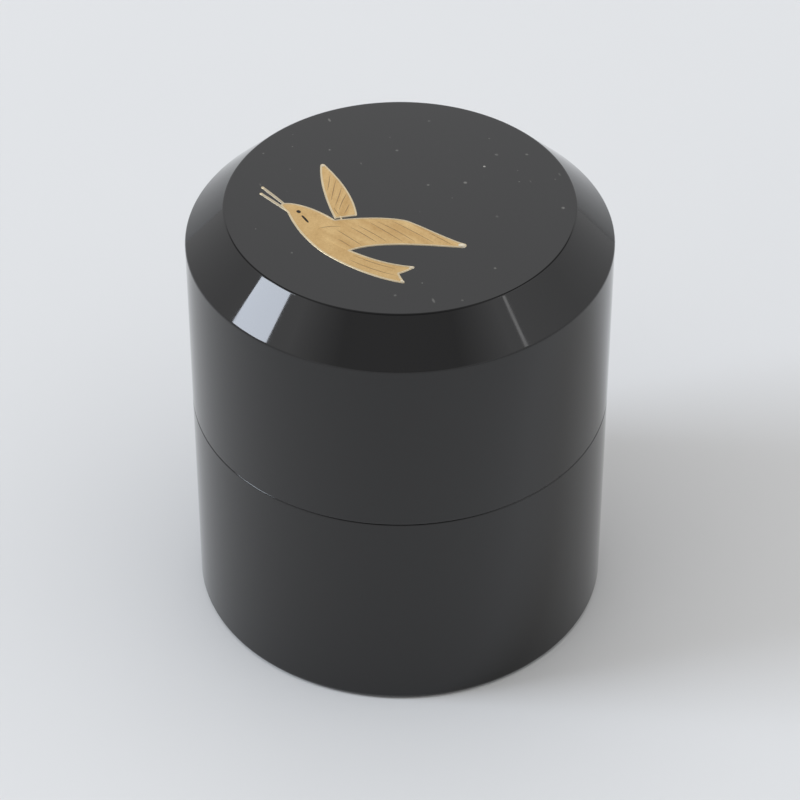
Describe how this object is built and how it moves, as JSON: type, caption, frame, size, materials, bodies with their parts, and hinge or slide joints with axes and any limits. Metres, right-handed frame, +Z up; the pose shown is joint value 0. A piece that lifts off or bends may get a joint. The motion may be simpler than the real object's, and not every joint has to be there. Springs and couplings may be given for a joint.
{
  "type": "lacquer tea caddy",
  "caption": "Black lacquer cylinder for powdered tea: hollow body with an inner collar, and a lift-off lid with a chamfered shoulder and a gold bird on its faintly domed top.",
  "frame": {"origin": "centre of the underside", "axes": "+Z up along the axis of turning; -Y is the front, from which the picture on the lid is upright; +X is to its right"},
  "size_m": [0.066, 0.066, 0.075],
  "materials": {
    "black_lacquer": "turned wood under mirror-polished black lacquer, inside and out",
    "gold_powder": "satin gold powder set in the lacquer, with paler raised outlines"
  },
  "bodies": {
    "root": {"body": "black_lacquer", "lid": "black_lacquer"}
  },
  "joints": []
}
